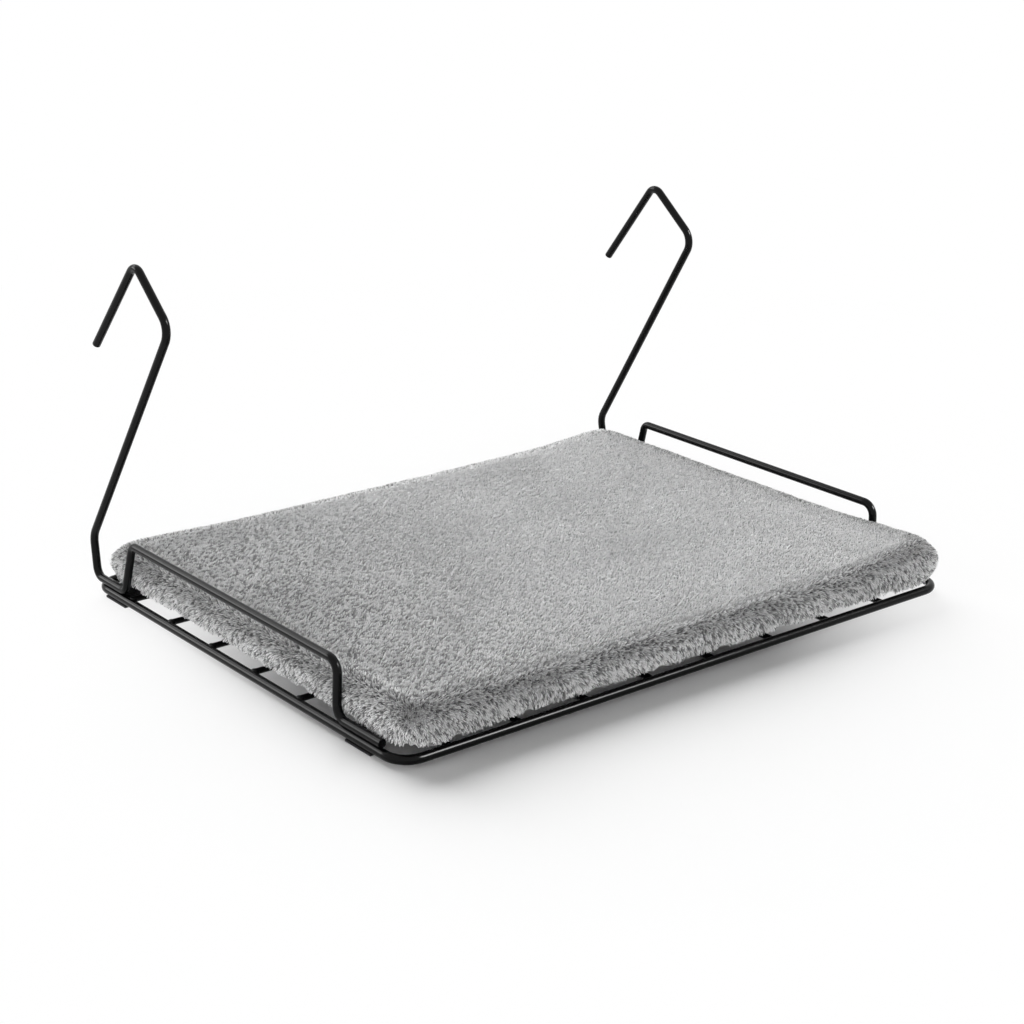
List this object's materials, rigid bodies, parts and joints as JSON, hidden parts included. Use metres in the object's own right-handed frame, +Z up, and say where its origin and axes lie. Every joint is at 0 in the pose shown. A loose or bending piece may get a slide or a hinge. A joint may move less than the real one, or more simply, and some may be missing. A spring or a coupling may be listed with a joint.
{
  "type": "radiator cat bed",
  "caption": "Rod-and-grid frame with bent side wires ending in hooks for a radiator's top edge, guards at both ends and a loose plush cushion lying on the grid.",
  "frame": {"origin": "on the ground the bed stands on, below the middle of the frame rail, within 1.3 mm of the middle of the part's box", "axes": "+X along the bed's long side, +Y towards the radiator, +Z up when the grid is level"},
  "size_m": [0.456, 0.3551, 0.233],
  "materials": {
    "black_rod": "glossy black powder coat",
    "black_grid_wire": "glossy black powder coat",
    "black_clamp_strip": "satin black powder coat",
    "black_fastener": "black zinc plate",
    "grey_fleece": "short plush pile",
    "grey_base_cloth": "plain woven polyester",
    "white_foam": "open-cell foam"
  },
  "bodies": {
    "frame": {"frame_rail": "black_rod", "cross_wire_1": "black_grid_wire", "cross_wire_2": "black_grid_wire", "cross_wire_3": "black_grid_wire", "cross_wire_4": "black_grid_wire", "cross_wire_5": "black_grid_wire", "cross_wire_6": "black_grid_wire", "depth_wire_1": "black_grid_wire", "depth_wire_2": "black_grid_wire", "depth_wire_3": "black_grid_wire", "depth_wire_4": "black_grid_wire", "depth_wire_5": "black_grid_wire", "depth_wire_6": "black_grid_wire", "depth_wire_7": "black_grid_wire", "depth_wire_8": "black_grid_wire", "left_side_wire": "black_rod", "right_side_wire": "black_rod", "front_left_clamp": "black_clamp_strip", "rear_left_clamp": "black_clamp_strip", "front_right_clamp": "black_clamp_strip", "rear_right_clamp": "black_clamp_strip", "front_left_foot_tab": "black_clamp_strip", "rear_left_foot_tab": "black_clamp_strip", "front_right_foot_tab": "black_clamp_strip", "rear_right_foot_tab": "black_clamp_strip", "front_left_screw": "black_fastener", "rear_left_screw": "black_fastener", "front_right_screw": "black_fastener", "rear_right_screw": "black_fastener", "front_left_nut": "black_fastener", "rear_left_nut": "black_fastener", "front_right_nut": "black_fastener", "rear_right_nut": "black_fastener"},
    "cushion": {"cushion_fleece_cover": "grey_fleece", "cushion_base_cloth": "grey_base_cloth", "cushion_foam_core": "white_foam"}
  },
  "joints": [
    {"name": "cushion_lift", "type": "slide", "parent": "frame", "child": "cushion", "axis": [0, -0.866, 0.5], "range_m": [0, 0.35]}
  ]
}
